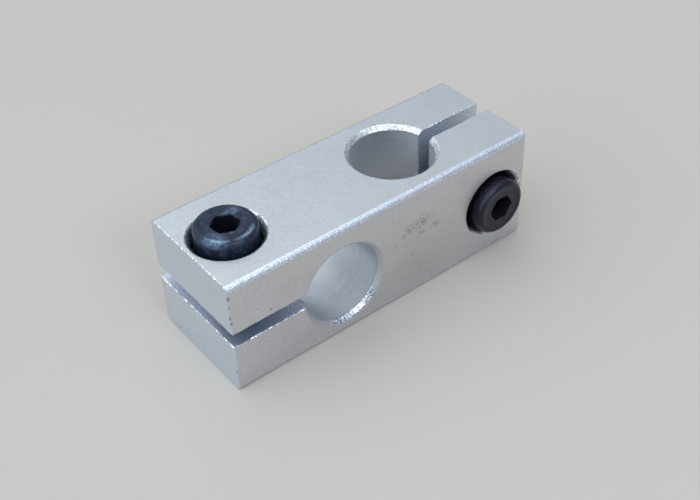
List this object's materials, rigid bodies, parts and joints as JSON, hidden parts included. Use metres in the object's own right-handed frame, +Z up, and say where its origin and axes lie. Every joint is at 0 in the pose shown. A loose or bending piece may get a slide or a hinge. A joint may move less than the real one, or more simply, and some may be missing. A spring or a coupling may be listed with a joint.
{
  "type": "right angle rod clamp",
  "caption": "Slit aluminium block that grips a level rod and an upright rod at right angles; counterbored socket head cap screws draw each slit shut.",
  "frame": {"origin": "centre of the block's bottom face", "axes": "+X along the block, from the half with the level rod bore to the half with the upright rod bore; +Y away from the face that the side screw enters; +Z up, along the upright bore"},
  "size_m": [0.0426, 0.0164, 0.0164],
  "materials": {
    "blasted_aluminium": "satin, bead blasted",
    "black_oxide_steel": "black oxide, lightly oiled"
  },
  "bodies": {
    "block": {"clamp_block": "blasted_aluminium"},
    "top_screw": {"top_clamp_screw": "black_oxide_steel"},
    "side_screw": {"side_clamp_screw": "black_oxide_steel"}
  },
  "joints": [
    {"name": "top_screw_travel", "type": "slide", "parent": "block", "child": "top_screw", "axis": [0, 0, 1], "range_m": [0, 0.0056]},
    {"name": "side_screw_travel", "type": "slide", "parent": "block", "child": "side_screw", "axis": [0, -1, 0], "range_m": [0, 0.0056]}
  ]
}
